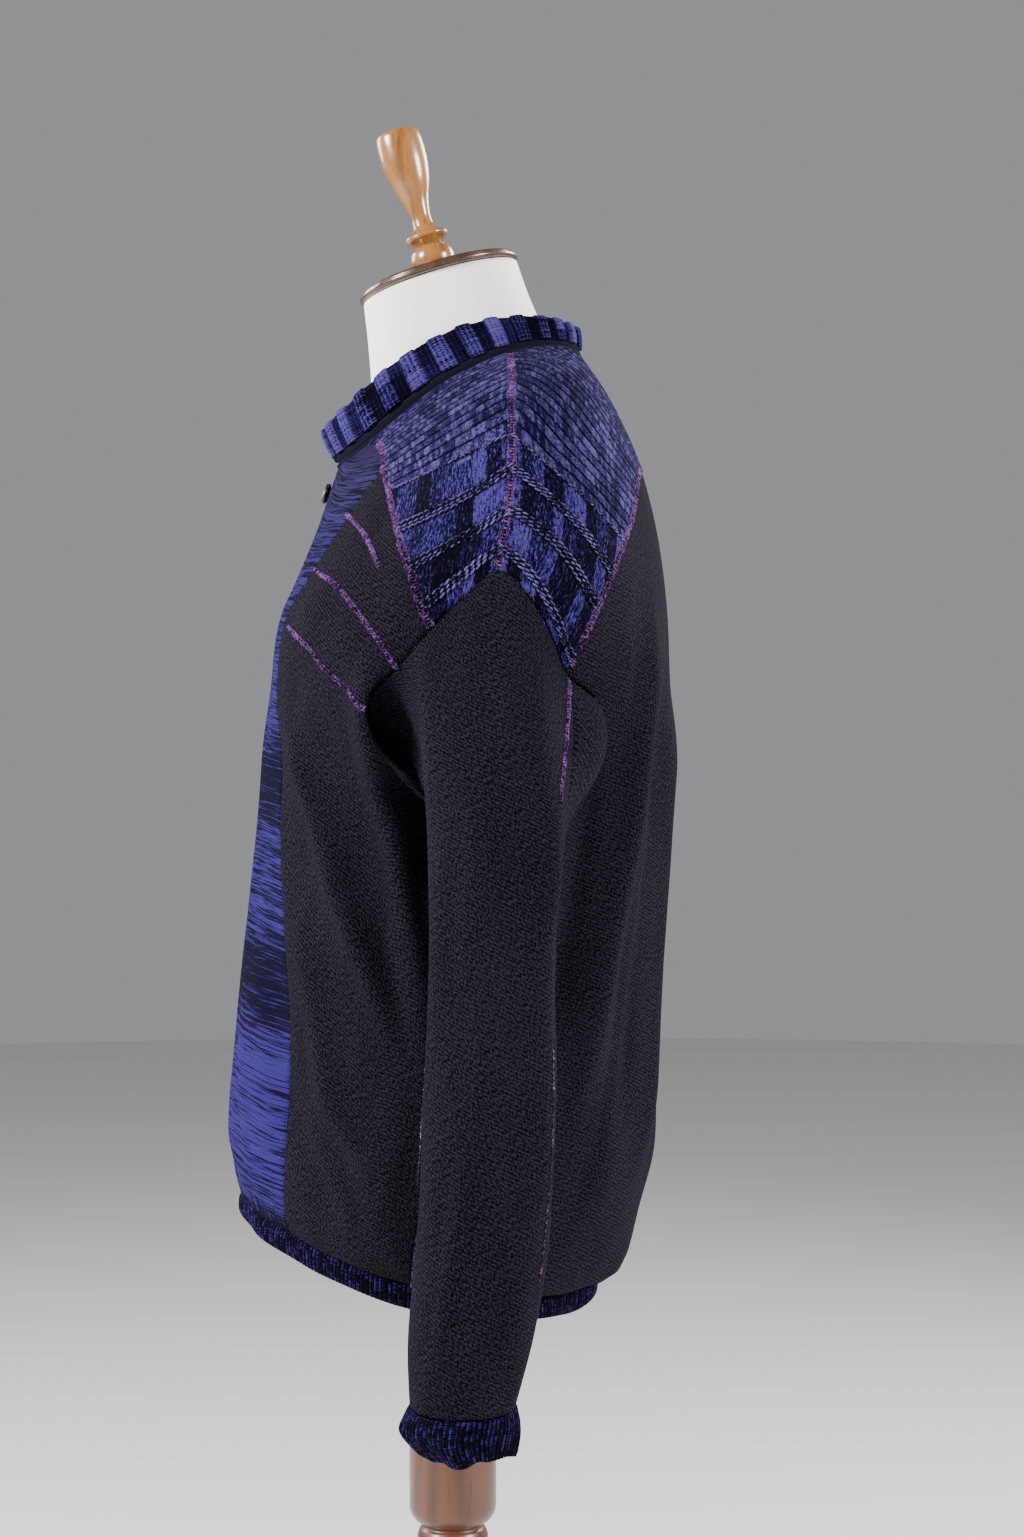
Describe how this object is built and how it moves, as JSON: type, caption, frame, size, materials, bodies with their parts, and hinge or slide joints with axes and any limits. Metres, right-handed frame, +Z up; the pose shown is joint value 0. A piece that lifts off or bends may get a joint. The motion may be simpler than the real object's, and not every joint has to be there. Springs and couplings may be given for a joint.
{
  "type": "sweater on dress form",
  "caption": "Knit sweater with dropped shoulders, block knit yoke, ribbed stand collar, cuffs and hem band, hanging on a limbless dress form with a turned wood finial, pole and round base.",
  "frame": {"origin": "centre of the stand base's underside, on the pole's axis", "axes": "+Z up, -Y towards the wearer's front, +X towards the wearer's left"},
  "size_m": [0.6056, 0.38, 1.6131],
  "materials": {
    "blue_marl_knit": "space-dyed cotton knit, blue with navy streaks",
    "charcoal_knit": "brushed charcoal twill knit with a soft nap",
    "block_knit": "textured block knit in blue and navy marl",
    "rib_knit": "cotton rib in blue and navy",
    "navy_binding": "dark navy knit binding",
    "horn": "dark horn, half gloss",
    "form_cloth": "smooth cream cotton over the form",
    "dark_wood": "dark walnut, varnished",
    "honey_wood": "honey brown wood, glossy varnish",
    "pole_wood": "orange brown wood, varnished",
    "base_wood": "brown wood, varnished"
  },
  "bodies": {
    "root": {"front_panel": "blue_marl_knit", "side_front_left": "charcoal_knit", "side_front_right": "charcoal_knit", "front_yoke_left": "block_knit", "front_yoke_right": "block_knit", "back_yoke": "block_knit", "back_panel": "charcoal_knit", "hem_rib": "rib_knit", "collar_binding": "navy_binding", "collar": "rib_knit", "sleeve_top_left": "charcoal_knit", "sleeve_under_left": "charcoal_knit", "cuff_left": "rib_knit", "sleeve_top_right": "charcoal_knit", "sleeve_under_right": "charcoal_knit", "cuff_right": "rib_knit", "form_torso": "form_cloth", "neck_cap": "dark_wood", "finial": "honey_wood", "pole": "pole_wood", "stand_base": "base_wood", "neck_button": "horn"}
  },
  "joints": []
}
